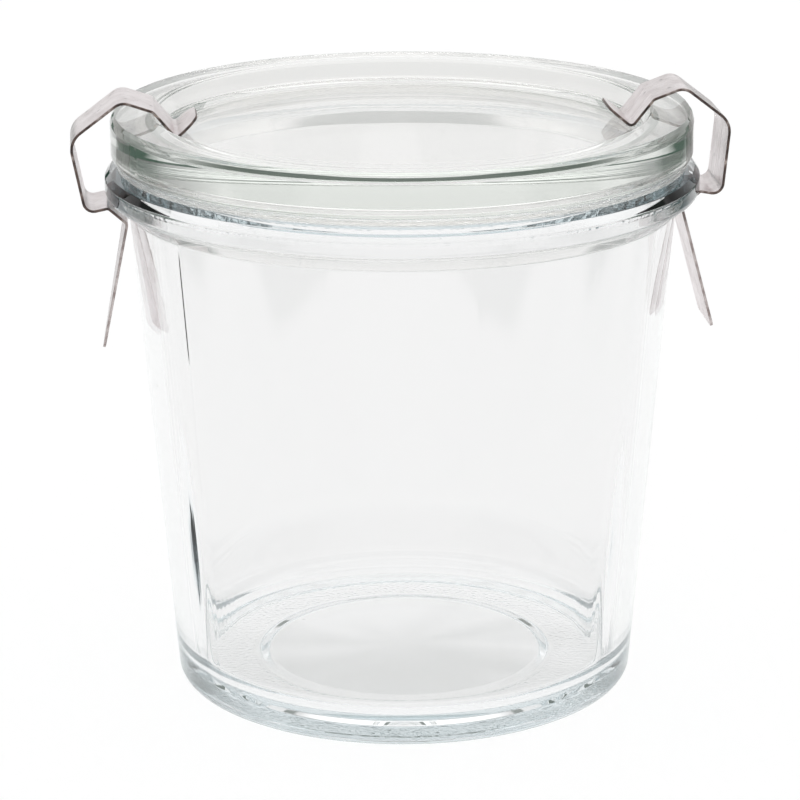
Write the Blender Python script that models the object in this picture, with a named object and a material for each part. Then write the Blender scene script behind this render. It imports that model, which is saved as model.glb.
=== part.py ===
"""Glass canning jar: a tapered glass tumbler, a loose glass lid with its sealing ring, and two
spring clips that hook under the rim bead and press on the lid.

Metres, +Z up. The origin is the centre of the resting face, and the clips lie along X.
"""

from math import acos, ceil, cos, pi, radians, sin, tan

import bmesh
import bpy
from mathutils import Vector

# Clearances between neighbouring pieces
seat_gap = 0.0003
hook_gap = 0.0009

# Jar body
jar_height = 0.0996
rim_radius = 0.055
foot_inset = 0.0118
wall_angle = radians(4.7)
wall_thickness = 0.0031
base_thickness = 0.005
floor_corner_round = 0.0045
heel_round = 0.0026
mouth_round = 0.001

# Rim bead of the jar: a flat land on top, an upright side, a lower edge and a sloping underside
bead_top_round = 0.0024
bead_side_height = 0.005
bead_lower_round = 0.0014
bead_edge_inset = 0.0017
bead_edge_drop = 0.0008
bead_edge_round = 0.0004
bead_under_angle = radians(48.5)
neck_round = 0.0008

# Underside of the jar: a resting ring, a shallow band and a raised middle inside a thin ring
rest_ring_width = 0.0038
band_depth = 0.0007
band_slope = 0.0006
punt_inset = 0.0154
punt_depth = 0.0016
punt_slope = 0.0009
underside_round = 0.0005

# Sealing ring, stretched on the lid's centring rib
seal_inset = 0.00095
seal_width = 0.0057
seal_thickness = 0.0009

# Lid: a raised outer ring, a dished middle and a centring rib underneath
lid_inset = 0.00125
lid_thickness = 0.0083
crest_width = 0.00815
dish_draft = 0.0011
dish_depth = 0.0035
dish_glass = 0.0045
crest_outer_round = 0.0018
crest_inner_round = 0.001
dish_corner_round = 0.0005
lid_lower_round = 0.0013
rib_depth = 0.0031
rib_width = 0.0036
rib_draft = 0.0003
rib_round = 0.0009
rib_root_round = 0.0006

# Clips: one bent strip each, from the tip in the dish to the end of the finger tail
clip_width = 0.014
clip_thickness = 0.0005
tip_reach = 0.0046
tip_rise = 0.0041
tip_round = 0.0048
fulcrum_inset = 0.0027
fulcrum_bend = 0.0009
shoulder_inset = 0.0003
shoulder_rise = 0.0016
shoulder_bend = 0.0012
peak_inset = 0.0021
peak_rise = 0.0036
peak_bend = 0.0028
elbow_reach = 0.0056
elbow_drop = 0.0029
elbow_bend = 0.004
heel_reach = 0.0036
heel_drop = 0.0021
heel_bend = 0.0019
hook_reach = 0.0006
nose_reach = 0.00046
hook_bend = 0.0007
nose_bend = 0.0009
tail_length = 0.0229
tail_angle = radians(13.5)
tail_round = 0.0015

# Fineness of the round stretches, and how much of a straight stretch one fillet may take
turn_steps = 64
end_steps = 4
arc_step = radians(23)
merge_distance = 0.00002
fillet_share = 0.49

# Radii and heights that follow from the sizes above
foot_radius = rim_radius - foot_inset
punt_radius = foot_radius - punt_inset
lid_radius = rim_radius - lid_inset
crest_inner_radius = lid_radius - crest_width
dish_radius = crest_inner_radius - dish_draft
seal_outer_radius = lid_radius - seal_inset
seal_inner_radius = seal_outer_radius - seal_width
seal_bottom = jar_height + seat_gap
seal_top = seal_bottom + seal_thickness
lid_bottom = seal_top + seat_gap
crest_height = lid_bottom + lid_thickness
dish_height = crest_height - dish_depth
rib_radius = seal_inner_radius - seat_gap


def wall_radius(height):
    """Outer radius of the tapered wall at this height."""
    return foot_radius + height * tan(wall_angle)


def inner_radius(height):
    """Inner radius of the tapered wall at this height."""
    return wall_radius(height) - wall_thickness / cos(wall_angle)


def bead_edge():
    """Lower edge of the rim bead, where its sloping underside begins."""
    return Vector((rim_radius - bead_edge_inset, jar_height - bead_side_height - bead_edge_drop))


def neck_point():
    """Corner where the bead's underside meets the tapered wall."""
    edge = bead_edge()
    slope = tan(bead_under_angle)
    height = (foot_radius - edge.x + slope * edge.y) / (slope - tan(wall_angle))
    return Vector((wall_radius(height), height))


def rounded(corners):
    """Outline through (x, z, round) corners, with an arc in place of each corner."""
    outline = []
    last = len(corners) - 1
    for index, (x, z, size) in enumerate(corners):
        corner = Vector((x, z))
        if size == 0 or index in (0, last):
            outline.append(corner)
            continue
        before = Vector(corners[index - 1][:2]) - corner
        after = Vector(corners[index + 1][:2]) - corner
        turn = before.angle(after)
        room = fillet_share * min(before.length, after.length)
        reach = min(size / tan(turn / 2), room)
        radius = reach * tan(turn / 2)
        middle = (before.normalized() + after.normalized()).normalized()
        centre = corner + middle * (radius / sin(turn / 2))
        start = corner + before.normalized() * reach - centre
        finish = corner + after.normalized() * reach - centre
        swept = pi - turn
        side = 1 if start.x * finish.y > start.y * finish.x else -1
        count = max(1, ceil(swept / arc_step))
        for step in range(count + 1):
            angle = side * swept * step / count
            outline.append(centre + Vector((start.x * cos(angle) - start.y * sin(angle),
                                            start.x * sin(angle) + start.y * cos(angle))))
    return outline


def bend_centre(before, corner, after, size):
    """Centre of the arc that rounds one corner of an outline."""
    to_before = (Vector(before) - Vector(corner)).normalized()
    to_after = (Vector(after) - Vector(corner)).normalized()
    middle = (to_before + to_after).normalized()
    return Vector(corner) + middle * (size / sin(to_before.angle(to_after) / 2))


def material(name, colour, roughness, metallic=0.0, transmission=0.0, ior=1.5):
    """Principled material in the piece's own colour."""
    made = bpy.data.materials.new(name)
    made.use_nodes = True
    shader = made.node_tree.nodes["Principled BSDF"]
    shader.inputs["Base Color"].default_value = (*colour, 1.0)
    shader.inputs["Roughness"].default_value = roughness
    shader.inputs["Metallic"].default_value = metallic
    shader.inputs["Transmission Weight"].default_value = transmission
    shader.inputs["IOR"].default_value = ior
    return made


def placed(name, mesh, place, look):
    """Object with its mesh, its place and its material."""
    made = bpy.data.objects.new(name, mesh)
    bpy.context.collection.objects.link(made)
    made.location = place
    mesh.materials.append(look)
    mesh.shade_smooth()
    mesh.set_sharp_from_angle(angle=radians(40))
    return made


def turned(name, corners, closed, base, look):
    """Piece turned about Z from an outline that runs down its outer side."""
    outline = rounded(corners)
    mesh = bpy.data.meshes.new(name)
    points = [(p.x, 0, p.y - base) for p in outline]
    edges = [(i, i + 1) for i in range(len(points) - 1)]
    if closed:
        edges.append((len(points) - 1, 0))
    mesh.from_pydata(points, edges, [])
    made = placed(name, mesh, (0, 0, base), look)
    screw = made.modifiers.new("turn", "SCREW")
    screw.axis = "Z"
    screw.angle = 2 * pi
    screw.steps = turn_steps
    screw.render_steps = turn_steps
    screw.use_merge_vertices = True
    screw.merge_threshold = merge_distance
    return made


def jar_corners():
    """Outline of the jar, from the middle of its floor over the rim to the middle of its foot."""
    bead_low = jar_height - bead_side_height
    rest_inner = foot_radius - heel_round - rest_ring_width
    return [
        (0, base_thickness, 0),
        (inner_radius(base_thickness), base_thickness, floor_corner_round),
        (inner_radius(jar_height), jar_height, mouth_round),
        (rim_radius, jar_height, bead_top_round),
        (rim_radius, bead_low, bead_lower_round),
        (*bead_edge(), bead_edge_round),
        (*neck_point(), neck_round),
        (foot_radius, 0, heel_round),
        (rest_inner, 0, underside_round),
        (rest_inner - band_slope, band_depth, underside_round),
        (punt_radius, band_depth, underside_round),
        (punt_radius - punt_slope, punt_depth, underside_round),
        (0, punt_depth, 0),
    ]


def lid_corners():
    """Outline of the lid, from the middle of its dish over the crest to the middle below."""
    rib_inner = rib_radius - rib_width
    rib_bottom = lid_bottom - rib_depth
    under = dish_height - dish_glass
    return [
        (0, dish_height, 0),
        (dish_radius, dish_height, dish_corner_round),
        (crest_inner_radius, crest_height, crest_inner_round),
        (lid_radius, crest_height, crest_outer_round),
        (lid_radius, lid_bottom, lid_lower_round),
        (rib_radius, lid_bottom, rib_root_round),
        (rib_radius - rib_draft, rib_bottom, rib_round),
        (rib_inner, rib_bottom, rib_round),
        (rib_inner - rib_draft, under, rib_root_round),
        (0, under, 0),
    ]


def seal_corners():
    """Outline of the sealing ring."""
    return [
        (seal_inner_radius, seal_top, 0),
        (seal_outer_radius, seal_top, 0),
        (seal_outer_radius, seal_bottom, 0),
        (seal_inner_radius, seal_bottom, 0),
    ]


def clip_corners():
    """Middle line of the clip strip, from its tip to the end of its tail."""
    half = clip_thickness / 2
    shoulder = (crest_inner_radius + shoulder_inset, crest_height + shoulder_rise)
    fulcrum_x = dish_radius - fulcrum_inset
    floor = dish_height + seat_gap + half
    # The fulcrum's corner lies below its arc, so that the arc just clears the dish.
    tip_angle = acos(tip_rise / Vector((tip_reach, tip_rise)).length)
    rise_angle = acos((shoulder[1] - floor) / (Vector(shoulder) - Vector((fulcrum_x, floor))).length)
    opening = tip_angle + rise_angle
    fulcrum_z = floor - fulcrum_bend * (1 / sin(opening / 2) - 1)
    # The hook lies along the bead's sloping underside, one gap below it.
    bead_low = jar_height - bead_side_height
    along = Vector((-sin(bead_under_angle), -cos(bead_under_angle)))
    away = Vector((cos(bead_under_angle), -sin(bead_under_angle)))
    hook = bead_edge() + away * (hook_gap + half) - along * hook_reach
    nose = neck_point() + away * (hook_gap + half) + along * nose_reach
    tail = nose + Vector((sin(tail_angle), -cos(tail_angle))) * tail_length
    return [
        (fulcrum_x - tip_reach, fulcrum_z + tip_rise, 0),
        (fulcrum_x, fulcrum_z, fulcrum_bend),
        (*shoulder, shoulder_bend),
        (lid_radius - peak_inset, crest_height + peak_rise, peak_bend),
        (rim_radius + elbow_reach, crest_height - elbow_drop, elbow_bend),
        (rim_radius + heel_reach, bead_low - heel_drop, heel_bend),
        (hook.x, hook.y, hook_bend),
        (nose.x, nose.y, nose_bend),
        (tail.x, tail.y, 0),
    ]


def end_share(distance, size):
    """Share of the full half width left at this distance from a rounded end."""
    if distance >= size:
        return 1.0
    half = clip_width / 2
    return (half - size + (size * size - (size - distance) ** 2) ** 0.5) / half


def clip_mesh(name, pivot):
    """Bent strip, built round its pivot, with rounded corners at both ends."""
    middle = rounded(clip_corners())
    for size, end, following in ((tip_round, 0, 1), (tail_round, -1, -2)):
        first = middle[end].copy()
        step = (middle[following] - first).normalized()
        extra = [first + step * (size * (1 - cos(pi / 2 * k / end_steps))) for k in range(1, end_steps + 1)]
        if end == 0:
            middle[1:1] = extra
        else:
            middle[-1:-1] = extra[::-1]
    total = [0.0]
    for a, b in zip(middle, middle[1:]):
        total.append(total[-1] + (b - a).length)
    mesh = bpy.data.meshes.new(name)
    strip = bmesh.new()
    rings = []
    for index, point in enumerate(middle):
        before = middle[max(index - 1, 0)]
        after = middle[min(index + 1, len(middle) - 1)]
        into = (point - before).normalized() if index else (after - point).normalized()
        out = (after - point).normalized() if index < len(middle) - 1 else into
        along = (into + out).normalized()
        across = Vector((-along.y, along.x)) * (clip_thickness / 2) / along.dot(out)
        share = min(end_share(total[index], tip_round), end_share(total[-1] - total[index], tail_round))
        half = clip_width / 2 * share
        ring = []
        for side, depth in ((1, -half), (1, half), (-1, half), (-1, -half)):
            spot = point + across * side
            ring.append(strip.verts.new((spot.x - pivot.x, depth, spot.y - pivot.y)))
        rings.append(ring)
    for a, b in zip(rings, rings[1:]):
        for k in range(4):
            strip.faces.new((a[k], a[(k + 1) % 4], b[(k + 1) % 4], b[k]))
    strip.faces.new(rings[0][::-1])
    strip.faces.new(rings[-1])
    bmesh.ops.recalc_face_normals(strip, faces=strip.faces)
    strip.to_mesh(mesh)
    strip.free()
    return mesh


def remove_everything():
    """Empties the scene before modelling."""
    for thing in list(bpy.data.objects):
        bpy.data.objects.remove(thing, do_unlink=True)


def build():
    """Models every piece in its closed place."""
    remove_everything()
    jar_glass = material("jar_glass", (0.90, 0.95, 0.96), 0.02, transmission=1.0, ior=1.52)
    lid_glass = material("lid_glass", (0.90, 0.96, 0.92), 0.02, transmission=1.0, ior=1.52)
    seal_clear = material("seal_clear", (0.93, 0.94, 0.93), 0.35, transmission=0.6, ior=1.41)
    spring_steel = material("spring_steel", (0.66, 0.63, 0.62), 0.28, metallic=1.0)

    turned("jar_body", jar_corners(), False, 0, jar_glass)
    lid = turned("lid", lid_corners(), False, lid_bottom, lid_glass)
    seal = turned("sealing_ring", seal_corners(), True, seal_bottom, seal_clear)
    seal.parent = lid
    seal.location.z -= lid_bottom

    corners = clip_corners()
    pivot = bend_centre(corners[0][:2], corners[1][:2], corners[2][:2], fulcrum_bend)
    for name, side in (("clip_right", 1), ("clip_left", -1)):
        mesh = clip_mesh(name, pivot)
        clip = placed(name, mesh, (side * pivot.x, 0, pivot.y - lid_bottom), spring_steel)
        clip.rotation_euler.z = 0 if side > 0 else pi
        clip.parent = lid


build()
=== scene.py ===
"""Glass canning jar with its lid, sealing ring and two spring clips, in a plain light studio.

Metres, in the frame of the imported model: the jar stands on z = 0 round the Z axis, and the clips
lie along X.
"""

from math import ceil, cos, pi, radians, sin, tan

import bmesh
import bpy
import numpy as np
from mathutils import Matrix, Vector


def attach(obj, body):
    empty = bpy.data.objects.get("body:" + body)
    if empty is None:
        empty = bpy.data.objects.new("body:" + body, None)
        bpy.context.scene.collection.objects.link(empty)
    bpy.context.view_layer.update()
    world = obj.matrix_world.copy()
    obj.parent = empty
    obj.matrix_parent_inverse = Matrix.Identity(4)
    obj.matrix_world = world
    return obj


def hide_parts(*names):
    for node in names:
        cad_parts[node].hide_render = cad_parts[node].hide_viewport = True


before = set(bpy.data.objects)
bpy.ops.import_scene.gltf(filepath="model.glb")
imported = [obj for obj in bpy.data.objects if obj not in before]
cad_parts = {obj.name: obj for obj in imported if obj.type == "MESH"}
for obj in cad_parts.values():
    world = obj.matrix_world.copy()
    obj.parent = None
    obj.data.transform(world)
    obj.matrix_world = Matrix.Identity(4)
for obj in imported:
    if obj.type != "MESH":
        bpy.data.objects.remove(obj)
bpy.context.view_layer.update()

# Jar
seat_gap = 0.0003
jar_height = 0.0996
rim_radius = 0.055
foot_radius = 0.0432
wall_angle = radians(4.7)
taper = tan(wall_angle)
wall_thickness = 0.0031
base_thickness = 0.005
floor_corner_round = 0.0045
heel_round = 0.0026
mouth_round = 0.001
bead_low = jar_height - 0.005
bead_edge_radius = rim_radius - 0.0017
bead_edge_height = bead_low - 0.0008
bead_under_angle = radians(48.5)
rest_ring_inner = 0.0368
band_slope = 0.0006
band_depth = 0.0007
punt_radius = 0.0278
punt_slope = 0.0018
punt_depth = 0.0016
underside_round = 0.0005
punt_round = 0.0016

# Rim of the jar: level land, shoulder, bead and the flare inside the mouth
land_radius = 0.0520
shoulder_radius = 0.0540
shoulder_drop = 0.0007
bead_side_drop = 0.002
flare_height = 0.09577
flare_rise = 0.00085
flare_width = 0.00036
flare_round = 0.0001
mouth_radius = 0.0486
land_round = 0.0003
shoulder_round = 0.0003
bead_top_round = 0.0008
bead_low_round = 0.0014
bead_edge_round = 0.0004
neck_round = 0.0008

# Sealing ring, whose closed outline begins and ends at a joint on its top
seal_outer_radius = 0.0528
seal_inner_radius = 0.0471
seal_thickness = 0.0009
seal_bottom = jar_height + seat_gap
seal_top = seal_bottom + seal_thickness
seal_round = 0.0002
seal_joint = 0.0001

# Lid
lid_radius = 0.05375
lid_bottom = seal_top + seat_gap
crest_height = lid_bottom + 0.0083
crest_inner_radius = 0.0456
dish_radius = 0.0445
dish_height = crest_height - 0.0035
dish_glass = 0.0045
dish_round = 0.0005
lid_lower_round = 0.0013
rib_radius = seal_inner_radius - seat_gap
rib_width = 0.0036
rib_depth = 0.0031
rib_draft = 0.0003
rib_round = 0.0009
rib_root_round = 0.0006
crest_inner_round = 0.001
crest_edge_inset = 0.00085
crest_edge_round = 0.00015
crest_side_inset = 0.00035
crest_side_drop = 0.0006
crest_side_round = 0.0005
lid_side_drop = 0.0015
lid_side_round = 0.0012

# Clips: corners of the strip's middle line as (x, z, bend), from the tongue's tip to the hook's nose
clip_width = 0.014
clip_thickness = 0.0005
clip_edge_round = 0.00009
tip_round = 0.0040
tail_round = 0.0015
clip_line = [
    (0.03791, 0.10935, 0),
    (0.0418, 0.10608, 0.0009),
    (0.0459, 0.1110, 0.0012),
    (0.05165, 0.1130, 0.0028),
    (0.0605, 0.1063, 0.0040),
    (0.0586, 0.0925, 0.0019),
    (0.05451, 0.09334, 0.0007),
    (0.05114, 0.09035, 0.0009),
]
elbow_corner = 4
clip_bend_point = (0.0417043, 0.1073716)
clip_sharp_angle = radians(25)

# How each clip is sprung: its turn about the bend, its elbow's shift, and its tail's length,
# angle and twist
right_clip = {"lean": radians(1.1), "elbow": (-0.0003, -0.0002), "tail": (0.0240, radians(14.0), 0)}
left_clip = {"lean": 0, "elbow": (0.0007, -0.0004), "tail": (0.0240, radians(11.0), radians(2.8))}

# Turns round the Z axis
camera_turn = radians(-5.4)
seam_turn = radians(-149.0)
lid_seam_turn = radians(-156.8)

# How finely the pieces are divided. arc_room is the most of a side that a rounded corner takes up,
# and corner_guard the length of the short steps beside it
turn_count = 240
arc_step = radians(5)
arc_room = 0.49
straight_step = 0.0025
corner_guard = 0.00012
least_straight = 3 * corner_guard
least_step = corner_guard / 100
seam_steps = 14
seam_step = 0.0006
seam_spread = 0.14
least_turn = 0.0004
on_axis = 1e-9
end_steps = 6
clip_columns = 4
clip_edge_faces = 2

# Waves of the pressed glass, as a seed, a number, a height, and the most turns round and rise
jar_waves = {"seed": 3, "count": 14, "size": 0.00001, "across": 9, "upright": 90}
lid_waves = {"seed": 8, "count": 12, "size": 0.000005, "across": 7, "upright": 90}
wave_rise = 1.5

# Marks of the moulds: hollows as (turn, depth), and zones as (low end, high end, fade)
wall_facing = 0.3
seam_top = jar_height - 0.0006
seam_depth = 0.00014
seam_width = 0.0004
seam_faint_share = 0.06
seam_strong_share = 0.34
seam_strong_zone = (0.066, 0.0925, 0.004)
seam_hollow_depth = 0.00003
seam_hollow_width = 0.0028
hollows = [(radians(-150.9), 0.0005), (radians(-40.4), 0.0004)]
hollow_width = 0.0023
hollow_zone = (0.004, 0.062, 0.025)
lid_mark_depth = 0.00004
lid_mark_width = 0.0005
lid_mark_zone = (lid_bottom + 0.0012, crest_height - 0.0022, 0.0006)
lid_mark_radius = lid_radius - 0.001

# Glass, with the heights and radii of its grit as (low end, high end, fade)
glass_index = 1.52
glass_pass_colour = (0.985, 0.99, 0.99, 1)
jar_tint = (0.955, 0.952, 0.951, 1)
jar_depth_colour = (0.845, 0.885, 0.898, 1)
jar_depth_density = 22
lid_tint = (0.87, 0.865, 0.855, 1)
lid_depth_colour = (0.833, 0.88, 0.84, 1)
lid_depth_density = 8
jar_seeds = {"scale": 75, "size": 0.00035}
lid_seeds = {"scale": 90, "size": 0.0003}
seed_relief = 0.00006
empty_cells = 0.55
grit_scale = 1300
grit_relief = 0.00004
sand_heights = (flare_height - 0.0004, flare_height + 0.0016, 0.0003)
sand_radii = (0.04, mouth_radius + 0.0005, 0.0001)
stipple_heights = (-0.001, 0.0012, 0.0002)
stipple_radii = (punt_radius + 0.0008, rest_ring_inner - 0.0012, 0.0004)

# Seal
seal_index = 1.41
seal_colour = (0.99, 0.985, 0.98, 1)
seal_pass_colour = (0.98, 0.975, 0.97, 1)
seal_clearness = 0.5
seal_grain_scale = 900
seal_roughness = [(0.3, 0.02), (0.7, 0.06)]
seal_relief = {"strength": 0.1, "distance": 0.00005}

# Broad faces of the steel strip
streak_stretch = (60, 3500, 60)
streak_roughness = [(0.3, 0.24), (0.7, 0.4)]
streak_relief = {"strength": 0.5, "distance": 0.00002}
steel_cloud_scale = 260
steel_colours = [(0.35, (0.63, 0.575, 0.575)), (0.62, (0.77, 0.72, 0.725))]
steel_specks = {"scale": 420, "size": 0.00055}
speck_shades = [(0.1, 1.0), (0.6, 0.55)]

# Sheared edges of the steel strip, stained, with painted shade above the hook, so they are paler below it
edge_cloud_scale = 420
edge_stain_and_shade_colours = [(0.40, (0.06, 0.045, 0.042)), (0.56, (0.17, 0.125, 0.11)),
                     (0.66, (0.42, 0.37, 0.35)), (0.74, (0.42, 0.24, 0.13))]
edge_unshaded_colours = [(0.4, (0.34, 0.28, 0.27)), (0.6, (0.62, 0.56, 0.55))]
edge_shade_above = 0.091
edge_unshaded_below = 0.086
edge_metal = 0.7
edge_roughness = 0.42
edge_relief = {"strength": 0.6, "distance": 0.00003}

# Camera
camera_lens = 149.49
camera_sensor = 36
camera_pitch = radians(17.107)
camera_roll = radians(0.267)
camera_place = (-0.000589, -0.6011, 0.2379)

# Floor: a pale cross under the jar, with dark corners far off
floor_gap = 0.0001
floor_reach = 6
floor_grey = 0.9
floor_white_share = 0.8
shadow_reach = 0.20
sweep_half_width = 0.30
runner_half_width = 0.12
corner_start = 0.36
corner_colour = (0.06, 0.105, 0.08)

# Studio, with lights and shares as (place, value) stops
white = (1, 1, 1, 1)
gap_behind = (0.17, 0.20, 0.18)
gap_in_front = (0.24, 0.28, 0.28)
backdrop_light = [(0, 1.0), (0.355, 1.0), (0.37, gap_behind), (0.445, gap_behind), (0.475, 0.85),
                  (0.6, 1.42)]
front_light = [(0, 0.5), (0.33, 0.5), (0.35, gap_in_front), (0.44, gap_in_front), (0.475, 0.6),
               (0.6, 1.42)]
front_share = [(0.35, 1.0), (0.65, 0)]
side_light = [(0.5, 1.0), (0.78, 0.22)]
overhead_share = [(0.3, 0), (0.4, 1)]
glass_bounces = 80


def rounded(corners):
    """Arcs, each a list of points, that stand for the (x, z, round) corners of an outline."""
    pieces = []
    last = len(corners) - 1
    for index, (x, z, size) in enumerate(corners):
        corner = Vector((x, z))
        if size == 0 or index in (0, last):
            pieces.append([corner])
            continue
        before = Vector(corners[index - 1][:2]) - corner
        after = Vector(corners[index + 1][:2]) - corner
        pieces.append(arc(corner, before, after, size))
    return pieces


def arc(corner, before, after, size):
    """Points of the arc that rounds one corner, between the sides that lead before and after it."""
    turn = before.angle(after)
    room = arc_room * min(before.length, after.length)
    reach = min(size / tan(turn / 2), room)
    radius = reach * tan(turn / 2)
    middle = (before.normalized() + after.normalized()).normalized()
    centre = corner + middle * (radius / sin(turn / 2))
    start = corner + before.normalized() * reach - centre
    finish = corner + after.normalized() * reach - centre
    swept = pi - turn
    side = 1 if start.x * finish.y > start.y * finish.x else -1
    count = max(2, ceil(swept / arc_step))
    points = []
    for step in range(count + 1):
        angle = side * swept * step / count
        points.append(centre + Vector((start.x * cos(angle) - start.y * sin(angle),
                                       start.x * sin(angle) + start.y * cos(angle))))
    return points


def outline(corners):
    """Fine outline as an (x, z) array: arcs at the corners, and short steps along what is straight."""
    pieces = rounded(corners)
    path = list(pieces[0])
    for piece in pieces[1:]:
        a, b = path[-1], piece[0]
        length = (b - a).length
        if length > least_straight:
            along = (b - a) / length
            inner = length - 2 * corner_guard
            count = max(1, ceil(inner / straight_step))
            for step in range(count + 1):
                path.append(a + along * (corner_guard + inner * step / count))
        path.extend(piece)
    kept = [path[0]]
    for point in path[1:]:
        if (point - kept[-1]).length > least_step:
            kept.append(point)
    return np.array([(p.x, p.y) for p in kept])


def azimuths(seams=()):
    """Turning angles, closer together near the mould seams."""
    angles = [2 * pi * k / turn_count for k in range(turn_count)]
    for seam in seams:
        for k in range(-seam_steps, seam_steps + 1):
            angles.append((seam + (k / seam_steps) ** 3 * seam_spread + k * seam_step) % (2 * pi))
    kept = []
    for angle in sorted(angles):
        if not kept or angle - kept[-1] > least_turn:
            kept.append(angle)
    return np.array(kept)


def into_glass(path, closed):
    """Direction across an outline at each of its points, towards the glass."""
    along = np.gradient(path, axis=0)
    if closed:
        along = np.roll(path, -1, axis=0) - np.roll(path, 1, axis=0)
    along /= np.linalg.norm(along, axis=1)[:, None]
    return np.stack([along[:, 1], -along[:, 0]], axis=1)


def turned(name, path, angles, closed=False, press=None):
    """Body turned about Z. press gives how far each point of it is pressed into the glass."""
    normal = into_glass(path, closed)
    radius = np.repeat(path[:, :1], len(angles), axis=1)
    height = np.repeat(path[:, 1:], len(angles), axis=1)
    turn = np.repeat(angles[None, :], len(path), axis=0)
    if press is not None:
        amount = press(radius, height, turn, normal)
        radius = radius + amount * normal[:, :1]
        height = height + amount * normal[:, 1:]
    points = []
    rows = []
    for i in range(len(path)):
        if path[i, 0] < on_axis:
            rows.append([len(points)] * len(angles))
            points.append((0, 0, float(height[i].mean())))
        else:
            rows.append(list(range(len(points), len(points) + len(angles))))
            points.extend(zip(radius[i] * np.cos(turn[i]), radius[i] * np.sin(turn[i]), height[i]))
    mesh = bpy.data.meshes.new(name)
    mesh.from_pydata([tuple(map(float, p)) for p in points], [], turned_faces(rows, closed))
    body = bmesh.new()
    body.from_mesh(mesh)
    return finished(name, mesh, body)


def turned_faces(rows, closed):
    """Faces between rows of points round the axis. A row on the axis is one point over and over."""
    faces = []
    rounds = len(rows)
    count = len(rows[0])
    for i in range(rounds if closed else rounds - 1):
        a, b = rows[i], rows[(i + 1) % rounds]
        for j in range(count):
            k = (j + 1) % count
            if a[0] == a[1]:
                faces.append((a[0], b[k], b[j]))
            elif b[0] == b[1]:
                faces.append((a[j], a[k], b[0]))
            else:
                faces.append((a[j], a[k], b[k], b[j]))
    return faces


def finished(name, mesh, body):
    """Object from a closed body, with its faces turned outwards and shaded smooth."""
    bmesh.ops.recalc_face_normals(body, faces=body.faces)
    body.to_mesh(mesh)
    body.free()
    mesh.shade_smooth()
    made = bpy.data.objects.new(name, mesh)
    bpy.context.collection.objects.link(made)
    return made


def stands_for(piece, node, body, looks):
    """Puts a piece in the place of its solid, with its looks."""
    for look in looks:
        piece.data.materials.append(look)
    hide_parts(node)
    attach(piece, body)


def waves(radius, height, turn, seed, count, size, across, upright):
    """Sum of soft waves round the axis and along it, about size high, that fade out at the axis."""
    random = np.random.default_rng(seed)
    total = np.zeros_like(radius)
    for _ in range(count):
        around = random.integers(1, across + 1)
        rise = random.uniform(-upright, upright)
        phase = random.uniform(0, 2 * pi)
        total += np.sin(around * turn + rise * (height + radius) + phase)
    near_axis = np.clip(radius / foot_radius * wave_rise, 0, 1) ** 2
    return size * total / count ** 0.5 * near_axis


def from_seam(radius, turn, seam):
    """Signed distance round the turned body from a seam."""
    return radius * ((turn - seam + pi) % (2 * pi) - pi)


def between(value, low, high, soft):
    """1 inside a range, 0 outside it, with soft ends."""
    return np.clip((value - low) / soft, 0, 1) * np.clip((high - value) / soft, 0, 1)


def mark(distance, width):
    """Soft mark, 1 deep and about this wide."""
    return np.exp(-(distance / width) ** 2)


def jar_press(radius, height, turn, normal):
    """Soft waves of pressed glass, seams on the inside of the wall, and hollows low on its outside.

    The way into the glass leads off from the axis on the inside of the wall, and back to the axis on
    its outside.
    """
    off_axis = np.repeat(normal[:, :1], radius.shape[1], axis=1)
    inside = (off_axis > wall_facing) & (height < seam_top)
    outside = off_axis < -wall_facing
    amount = waves(radius, height, turn, **jar_waves)
    strength = seam_faint_share + seam_strong_share * between(height, *seam_strong_zone)
    seams = np.zeros_like(radius)
    for seam in (seam_turn, seam_turn + pi):
        off = from_seam(radius, turn, seam)
        seams += (seam_depth * strength * mark(off, seam_width)
                  + seam_hollow_depth * mark(off, seam_hollow_width))
    low_hollows = np.zeros_like(radius)
    for hollow, depth in hollows:
        off = from_seam(radius, turn, hollow)
        low_hollows += depth * between(height, *hollow_zone) * mark(off, hollow_width)
    return amount + np.where(inside, seams, 0) + np.where(outside, low_hollows, 0)


def lid_press(radius, height, turn, normal):
    """Soft waves of pressed glass, with a short mould mark on the side."""
    amount = waves(radius, height, turn, **lid_waves)
    off = from_seam(radius, turn, lid_seam_turn)
    side = between(height, *lid_mark_zone) * (radius > lid_mark_radius)
    return amount + lid_mark_depth * side * mark(off, lid_mark_width)


def jar_outline():
    """Outline of the jar's glass, from the middle of its inner floor to the middle of its underside."""
    slope = tan(bead_under_angle)
    neck = (foot_radius - bead_edge_radius + slope * bead_edge_height) / (slope - taper)
    inside = foot_radius - wall_thickness / cos(wall_angle)
    flare_radius = inside + flare_height * taper
    return outline([
        (0, base_thickness, 0),
        (inside + base_thickness * taper, base_thickness, floor_corner_round),
        (flare_radius, flare_height, flare_round),
        (flare_radius + flare_width, flare_height + flare_rise, flare_round),
        (mouth_radius, jar_height, mouth_round),
        (land_radius, jar_height, land_round),
        (shoulder_radius, jar_height - shoulder_drop, shoulder_round),
        (rim_radius, jar_height - bead_side_drop, bead_top_round),
        (rim_radius, bead_low, bead_low_round),
        (bead_edge_radius, bead_edge_height, bead_edge_round),
        (foot_radius + neck * taper, neck, neck_round),
        (foot_radius, 0, heel_round),
        (rest_ring_inner, 0, underside_round),
        (rest_ring_inner - band_slope, band_depth, underside_round),
        (punt_radius, band_depth, punt_round),
        (punt_radius - punt_slope, punt_depth, punt_round),
        (0, punt_depth, 0),
    ])


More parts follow.
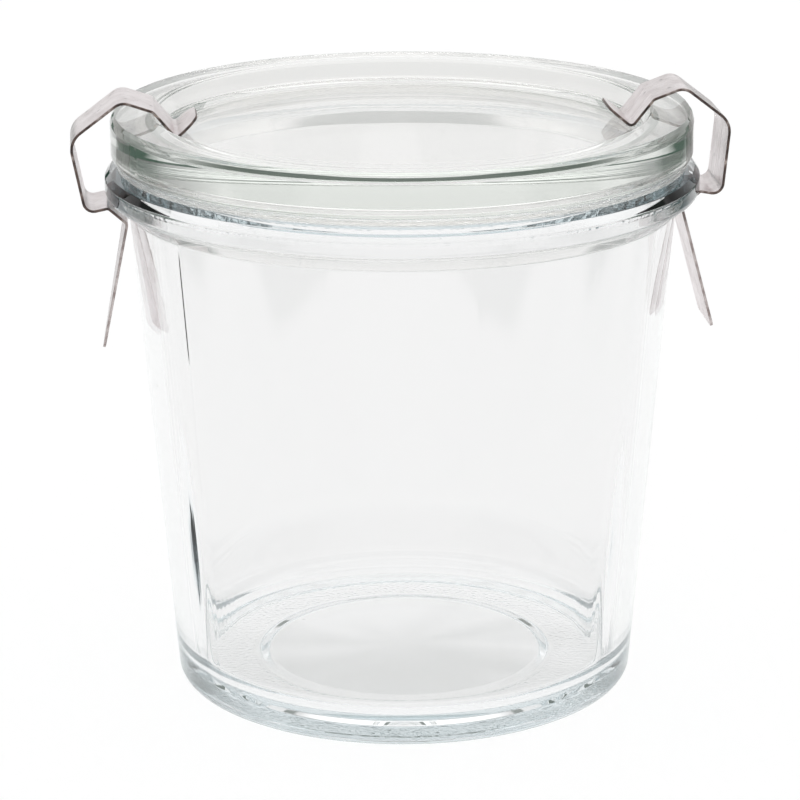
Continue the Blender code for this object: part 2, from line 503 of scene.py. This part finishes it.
def lid_outline():
    """Outline of the lid's glass, from the middle of its dish to the middle of its underside."""
    under = dish_height - dish_glass
    rib_bottom = lid_bottom - rib_depth
    rib_inner = rib_radius - rib_width
    return outline([
        (0, dish_height, 0),
        (dish_radius, dish_height, dish_round),
        (crest_inner_radius, crest_height, crest_inner_round),
        (lid_radius - crest_edge_inset, crest_height, crest_edge_round),
        (lid_radius - crest_side_inset, crest_height - crest_side_drop, crest_side_round),
        (lid_radius, crest_height - lid_side_drop, lid_side_round),
        (lid_radius, lid_bottom, lid_lower_round),
        (rib_radius, lid_bottom, rib_root_round),
        (rib_radius - rib_draft, rib_bottom, rib_round),
        (rib_inner, rib_bottom, rib_round),
        (rib_inner - rib_draft, under, rib_root_round),
        (0, under, 0),
    ])


def seal_outline():
    """Outline of the sealing ring's section."""
    middle = (seal_inner_radius + seal_outer_radius) / 2
    return outline([
        (middle, seal_top, 0),
        (seal_outer_radius, seal_top, seal_round),
        (seal_outer_radius, seal_bottom, seal_round),
        (seal_inner_radius, seal_bottom, seal_round),
        (seal_inner_radius, seal_top, seal_round),
        (middle - seal_joint, seal_top, 0),
    ])


def end_share(distance, size):
    """Share of the clip's full half width left at this distance from a rounded end."""
    if distance >= size:
        return 1
    half = clip_width / 2
    return (half - size + (size * size - (size - distance) ** 2) ** 0.5) / half


def end_points(first, following, size):
    """Points along the first stretch of the strip, closer together towards its rounded end."""
    step = (following - first).normalized()
    return [first + step * (size * (1 - cos(pi / 2 * k / end_steps))) for k in range(1, end_steps + 1)]


def clip_path(elbow, length, angle):
    """Points along the middle line of a clip, and each one's distance from the tip."""
    nose = Vector(clip_line[-1][:2])
    tail = nose + Vector((sin(angle), -cos(angle))) * length
    corners = [*clip_line, (*tail, 0)]
    x, z, bend = corners[elbow_corner]
    corners[elbow_corner] = (x + elbow[0], z + elbow[1], bend)
    path = [point for piece in rounded(corners) for point in piece]
    path[1:1] = end_points(path[0], path[1], tip_round)
    path[-1:-1] = end_points(path[-1], path[-2], tail_round)[::-1]
    total = [0]
    for a, b in zip(path, path[1:]):
        total.append(total[-1] + (b - a).length)
    return path, total


def clip_section(half):
    """Section of the strip at this half width, as (across, through) pairs with softened corners."""
    thick = clip_thickness / 2
    edge = clip_edge_round
    wide = half - edge
    upper = [(half, -thick + edge), (half, thick - edge), (wide, thick)]
    columns = [(wide * (1 - 2 * k / clip_columns), thick) for k in range(1, clip_columns)]
    around = upper + columns + [(-wide, thick), (-half, thick - edge)]
    return around + [(-a, -t) for a, t in around]


def through_strip(path, index):
    """Direction through the strip at a point of its middle line, longer where the line bends."""
    point = path[index]
    before = path[max(index - 1, 0)]
    after = path[min(index + 1, len(path) - 1)]
    into = (point - before).normalized() if index else (after - point).normalized()
    out = (after - point).normalized() if index < len(path) - 1 else into
    along = (into + out).normalized()
    return Vector((-along.y, along.x)) / along.dot(out)


def strip_ring(strip, side, lean, twist, point, through, half):
    """Corners of the strip's section at a point of its middle line, after its lean and twist."""
    middle = Vector(clip_bend_point)
    ring = []
    for wide, thick in clip_section(half):
        spot = point + through * thick - middle
        x = spot.x * cos(lean) - spot.y * sin(lean) + middle.x + wide * twist
        z = spot.x * sin(lean) + spot.y * cos(lean) + middle.y
        ring.append(strip.verts.new((side * x, side * wide, z)))
    return ring


def close_strip(strip, rings):
    """Faces of the strip. The broad ones take its first look, and its edges and ends the second."""
    count = len(rings[0])
    for a, b in zip(rings, rings[1:]):
        for k in range(count):
            face = strip.faces.new((a[k], a[(k + 1) % count], b[(k + 1) % count], b[k]))
            broad = clip_edge_faces <= k % (count // 2) < clip_edge_faces + clip_columns
            face.material_index = 0 if broad else 1
    for ring in (rings[0][::-1], rings[-1]):
        strip.faces.new(ring).material_index = 1


def clip(node, side, lean, elbow, tail, looks):
    """Sprung strip of one clip, turned by lean about its bend in the dish, with its tail twisted."""
    length, angle, twist = tail
    path, total = clip_path(elbow, length, angle)
    nose = Vector(clip_line[-1][:2])
    strip = bmesh.new()
    rings = []
    for index, point in enumerate(path):
        share = min(end_share(total[index], tip_round), end_share(total[-1] - total[index], tail_round))
        down_tail = max(0, nose.y - point.y) / length
        rings.append(strip_ring(strip, side, lean, tan(twist) * down_tail, point,
                                through_strip(path, index), clip_width / 2 * share))
    close_strip(strip, rings)
    name = node + "_strip"
    made = finished(name, bpy.data.meshes.new(name), strip)
    made.data.set_sharp_from_angle(angle=clip_sharp_angle)
    stands_for(made, node, node, looks)


def new_material(name):
    """Empty node material with its output node."""
    made = bpy.data.materials.new(name)
    made.use_nodes = True
    tree = made.node_tree
    tree.nodes.clear()
    return made, tree, tree.nodes.new("ShaderNodeOutputMaterial")


def add(tree, kind, **values):
    """Node of this kind with plain values on its inputs or settings."""
    node = tree.nodes.new(kind)
    for key, value in values.items():
        if hasattr(node, key) and key not in ("inputs", "outputs"):
            setattr(node, key, value)
        else:
            node.inputs[key.replace("_", " ")].default_value = value
    return node


def feed(tree, value, socket):
    """Puts a plain number on a socket, or links another node's output to it."""
    if isinstance(value, (int, float)):
        socket.default_value = value
    else:
        tree.links.new(value, socket)


def calculate(tree, operation, *values):
    """Math node on up to three values, each a plain number or another node's output."""
    node = add(tree, "ShaderNodeMath", operation=operation)
    for value, socket in zip(values, node.inputs):
        feed(tree, value, socket)
    return node.outputs[0]


def product(tree, first, *others):
    """Product of two or more values."""
    for value in others:
        first = calculate(tree, "MULTIPLY", first, value)
    return first


def ramp(tree, factor, stops):
    """Colour ramp with these (place, grey or colour) stops."""
    node = tree.nodes.new("ShaderNodeValToRGB")
    elements = node.color_ramp.elements
    while len(elements) < len(stops):
        elements.new(0.5)
    for element, (at, value) in zip(elements, stops):
        element.position = at
        element.color = (*value, 1) if isinstance(value, tuple) else (value, value, value, 1)
    tree.links.new(factor, node.inputs[0])
    return node.outputs[0]


def zone(tree, value, low, high, soft):
    """1 where a value lies between low and high, with soft ends."""
    rise = add(tree, "ShaderNodeMapRange", From_Min=low, From_Max=low + soft)
    fall = add(tree, "ShaderNodeMapRange", From_Min=high, From_Max=high - soft)
    tree.links.new(value, rise.inputs[0])
    tree.links.new(value, fall.inputs[0])
    return product(tree, rise.outputs[0], fall.outputs[0])


def coordinates(tree, kind="Object"):
    """Coordinates of this kind: a piece's own, or the directions of the studio."""
    return tree.nodes.new("ShaderNodeTexCoord").outputs[kind]


def parts(tree, vector):
    """The three parts of a vector or a colour."""
    node = tree.nodes.new("ShaderNodeSeparateXYZ")
    tree.links.new(vector, node.inputs[0])
    return node.outputs


def noise(tree, place, scale, detail):
    """Soft noise between 0 and 1."""
    node = add(tree, "ShaderNodeTexNoise", Scale=scale, Detail=detail)
    tree.links.new(place, node.inputs["Vector"])
    return node.outputs[0]


def bump(tree, height, strength, distance):
    """Relief from a height."""
    node = add(tree, "ShaderNodeBump", Strength=strength, Distance=distance)
    tree.links.new(height, node.inputs["Height"])
    return node.outputs[0]


def mixed_colour(tree, factor, first, second, way="MIX"):
    """Two colours mixed this way."""
    node = add(tree, "ShaderNodeMix", data_type="RGBA", blend_type=way)
    for value, index in ((factor, 0), (first, 6), (second, 7)):
        feed(tree, value, node.inputs[index])
    return node.outputs[2]


def mixed_shader(tree, factor, first, second):
    """Two shaders mixed: the first where the factor is 0 and the second where it is 1."""
    node = tree.nodes.new("ShaderNodeMixShader")
    for value, socket in zip((factor, first, second), node.inputs):
        feed(tree, value, socket)
    return node.outputs[0]


def seeds(tree, place, scale, size):
    """Small round marks of about this size, scattered over some of the cells of a grid."""
    cells = add(tree, "ShaderNodeTexVoronoi", Scale=scale)
    tree.links.new(place, cells.inputs["Vector"])
    dots = add(tree, "ShaderNodeMapRange", From_Min=size * scale, From_Max=0)
    tree.links.new(cells.outputs["Distance"], dots.inputs[0])
    chosen = calculate(tree, "GREATER_THAN", parts(tree, cells.outputs["Color"])[0], empty_cells)
    return product(tree, dots.outputs[0], chosen)


def glass_surface(tree, tint, height):
    """Clear glass with a fine relief. Light for shadows and soft bounces goes straight through it."""
    shader = add(tree, "ShaderNodeBsdfPrincipled", Base_Color=tint, Roughness=0, IOR=glass_index,
                 Transmission_Weight=1)
    tree.links.new(bump(tree, height, strength=1, distance=1), shader.inputs["Normal"])
    clear = add(tree, "ShaderNodeBsdfTransparent", Color=glass_pass_colour)
    path = tree.nodes.new("ShaderNodeLightPath")
    either = calculate(tree, "MAXIMUM", path.outputs["Is Shadow Ray"], path.outputs["Is Diffuse Ray"])
    return mixed_shader(tree, either, shader.outputs[0], clear.outputs[0])


def glass_depth(tree, out, colour, density):
    """Colour that the glass takes on with thickness."""
    inner = add(tree, "ShaderNodeVolumeAbsorption", Color=colour, Density=density)
    tree.links.new(inner.outputs[0], out.inputs["Volume"])


def jar_look():
    """Faintly blue glass: seeds, a sandy band inside the mouth and a stippled underside."""
    made, tree, out = new_material("jar_glass_look")
    place = coordinates(tree)
    x, y, z = parts(tree, place)
    away = calculate(tree, "SQRT", calculate(tree, "ADD", product(tree, x, x), product(tree, y, y)))
    grit = noise(tree, place, scale=grit_scale, detail=0)
    in_mouth = product(tree, zone(tree, z, *sand_heights), zone(tree, away, *sand_radii))
    under = product(tree, zone(tree, z, *stipple_heights), zone(tree, away, *stipple_radii))
    sand = product(tree, grit, in_mouth, grit_relief)
    stipple = product(tree, grit, under, grit_relief)
    height = calculate(tree, "ADD", calculate(tree, "ADD", sand, stipple),
                       product(tree, seeds(tree, place, **jar_seeds), seed_relief))
    tree.links.new(glass_surface(tree, jar_tint, height), out.inputs["Surface"])
    glass_depth(tree, out, jar_depth_colour, jar_depth_density)
    return made


def lid_look():
    """Faintly green glass with seeds."""
    made, tree, out = new_material("lid_glass_look")
    height = product(tree, seeds(tree, coordinates(tree), **lid_seeds), seed_relief)
    tree.links.new(glass_surface(tree, lid_tint, height), out.inputs["Surface"])
    glass_depth(tree, out, lid_depth_colour, lid_depth_density)
    return made


def seal_look():
    """Clear soft seal with a faint haze and a finely grained surface."""
    made, tree, out = new_material("seal_look")
    grain = noise(tree, coordinates(tree), scale=seal_grain_scale, detail=2)
    shader = add(tree, "ShaderNodeBsdfPrincipled", Base_Color=seal_colour, IOR=seal_index,
                 Transmission_Weight=1)
    tree.links.new(ramp(tree, grain, seal_roughness), shader.inputs["Roughness"])
    tree.links.new(bump(tree, grain, **seal_relief), shader.inputs["Normal"])
    clear = add(tree, "ShaderNodeBsdfTransparent", Color=seal_pass_colour)
    tree.links.new(mixed_shader(tree, seal_clearness, shader.outputs[0], clear.outputs[0]),
                   out.inputs["Surface"])
    return made


def steel_face_look():
    """Satin rolled steel: a pinkish cast, rolling streaks along the strip, and small dull specks."""
    made, tree, out = new_material("steel_face_look")
    place = coordinates(tree)
    stretch = add(tree, "ShaderNodeMapping", Scale=streak_stretch)
    tree.links.new(place, stretch.inputs["Vector"])
    streaks = noise(tree, stretch.outputs[0], scale=1, detail=3)
    cloud = noise(tree, place, scale=steel_cloud_scale, detail=3)
    specks = ramp(tree, seeds(tree, place, **steel_specks), speck_shades)
    colour = mixed_colour(tree, 1, ramp(tree, cloud, steel_colours), specks, "MULTIPLY")
    shader = add(tree, "ShaderNodeBsdfPrincipled", Metallic=1)
    tree.links.new(colour, shader.inputs["Base Color"])
    tree.links.new(ramp(tree, streaks, streak_roughness), shader.inputs["Roughness"])
    tree.links.new(bump(tree, streaks, **streak_relief), shader.inputs["Normal"])
    tree.links.new(shader.outputs[0], out.inputs["Surface"])
    return made


def steel_edge_look():
    """Sheared edge of the steel strip: brown and orange stain, with painted shade on the loops, so it is
    paler on the tail.
    """
    made, tree, out = new_material("steel_edge_look")
    place = coordinates(tree)
    cloud = noise(tree, place, scale=edge_cloud_scale, detail=3)
    # Painted shade: the edges are darkened on the loops above the hook and left paler on the tail below it
    low = add(tree, "ShaderNodeMapRange", From_Min=edge_shade_above, From_Max=edge_unshaded_below)
    tree.links.new(parts(tree, place)[2], low.inputs[0])
    colour = mixed_colour(tree, low.outputs[0], ramp(tree, cloud, edge_stain_and_shade_colours),
                          ramp(tree, cloud, edge_unshaded_colours))
    shader = add(tree, "ShaderNodeBsdfPrincipled", Metallic=edge_metal, Roughness=edge_roughness)
    tree.links.new(colour, shader.inputs["Base Color"])
    tree.links.new(bump(tree, cloud, **edge_relief), shader.inputs["Normal"])
    tree.links.new(shader.outputs[0], out.inputs["Surface"])
    return made


def floor_look():
    """Pale cross that shows white and keeps the jar's shadow. Only glass and steel see its dark corners."""
    made, tree, out = new_material("floor_look")
    x, y = parts(tree, coordinates(tree))[:2]
    beside = calculate(tree, "ABSOLUTE", x)
    ahead = calculate(tree, "ADD", calculate(tree, "ABSOLUTE", y), sweep_half_width - runner_half_width)
    off_cross = calculate(tree, "MINIMUM", beside, ahead)
    plain = add(tree, "ShaderNodeBsdfDiffuse")
    tree.links.new(ramp(tree, off_cross, [(sweep_half_width, floor_grey), (corner_start, corner_colour)]),
                   plain.inputs["Color"])
    bright = add(tree, "ShaderNodeEmission", Color=white, Strength=1)
    path = tree.nodes.new("ShaderNodeLightPath")
    seen = ramp(tree, off_cross, [(shadow_reach, floor_white_share), (sweep_half_width, 1.0)])
    seen_through = ramp(tree, off_cross, [(sweep_half_width, floor_white_share), (corner_start, 0)])
    direct = product(tree, path.outputs["Is Camera Ray"], seen)
    through = product(tree, path.outputs["Is Transmission Ray"], seen_through)
    share = calculate(tree, "MAXIMUM", direct, through)
    tree.links.new(mixed_shader(tree, share, plain.outputs[0], bright.outputs[0]), out.inputs["Surface"])
    return made


def add_floor():
    """Wide flat floor just under the jar."""
    mesh = bpy.data.meshes.new("floor")
    corners = [(-1, -1), (1, -1), (1, 1), (-1, 1)]
    points = [(x * floor_reach, y * floor_reach, -floor_gap) for x, y in corners]
    mesh.from_pydata(points, [], [(0, 1, 2, 3)])
    mesh.materials.append(floor_look())
    floor = bpy.data.objects.new("floor", mesh)
    bpy.context.collection.objects.link(floor)


def add_world():
    """Studio round the jar, brighter overhead, with a dark gap above the backdrop and darker sides."""
    world = bpy.data.worlds.new("studio")
    bpy.context.scene.world = world
    world.use_nodes = True
    tree = world.node_tree
    tree.nodes.clear()
    out = tree.nodes.new("ShaderNodeOutputWorld")
    x, y, z = parts(tree, coordinates(tree, "Generated"))
    half = 0.5
    backward = calculate(tree, "MULTIPLY_ADD", y, half, half)
    light = mixed_colour(tree, ramp(tree, backward, front_share), ramp(tree, z, backdrop_light),
                         ramp(tree, z, front_light))
    sides = ramp(tree, calculate(tree, "ABSOLUTE", x), side_light)
    lit = tree.nodes.new("ShaderNodeBackground")
    tree.links.new(light, lit.inputs[0])
    tree.links.new(calculate(tree, "MAXIMUM", sides, ramp(tree, z, overhead_share)), lit.inputs[1])
    plain = add(tree, "ShaderNodeBackground", Color=white, Strength=1)
    path = tree.nodes.new("ShaderNodeLightPath")
    tree.links.new(mixed_shader(tree, path.outputs["Is Camera Ray"], lit.outputs[0], plain.outputs[0]),
                   out.inputs["Surface"])


def add_camera():
    """Camera where the photograph's was, found from the ellipses of rim, lid and foot."""
    lens = bpy.data.cameras.new("camera")
    lens.lens = camera_lens
    lens.sensor_width = camera_sensor
    camera = bpy.data.objects.new("camera", lens)
    bpy.context.collection.objects.link(camera)
    forward = Vector((0, cos(camera_pitch), -sin(camera_pitch)))
    level = Vector((1, 0, 0))
    upright = Vector((0, sin(camera_pitch), cos(camera_pitch)))
    across = level * cos(camera_roll) - upright * sin(camera_roll)
    above = upright * cos(camera_roll) + level * sin(camera_roll)
    facing = Matrix((across, above, -forward)).transposed().to_4x4()
    spin = Matrix.Rotation(camera_turn, 4, "Z")
    camera.matrix_world = spin @ Matrix.Translation(camera_place) @ facing
    bpy.context.scene.camera = camera


def set_view():
    """Plain view, and enough bounces for light to pass all the layers of glass."""
    scene = bpy.context.scene
    scene.view_settings.view_transform = "Standard"
    scene.cycles.max_bounces = glass_bounces
    scene.cycles.transmission_bounces = glass_bounces
    scene.cycles.transparent_max_bounces = glass_bounces
    scene.cycles.glossy_bounces = glass_bounces // 2
    scene.cycles.blur_glossy = 0


jar_marks = (seam_turn, seam_turn + pi, *(turn for turn, depth in hollows))
jar = turned("jar_glass", jar_outline(), azimuths(jar_marks), press=jar_press)
stands_for(jar, "jar_body", "jar", [jar_look()])
lid = turned("lid_glass", lid_outline(), azimuths([lid_seam_turn]), press=lid_press)
stands_for(lid, "lid", "lid", [lid_look()])
seal = turned("seal_ring", seal_outline(), azimuths(), closed=True)
stands_for(seal, "sealing_ring", "lid", [seal_look()])
steel_looks = [steel_face_look(), steel_edge_look()]
clip("clip_right", 1, looks=steel_looks, **right_clip)
clip("clip_left", -1, looks=steel_looks, **left_clip)
add_floor()
add_world()
add_camera()
set_view()
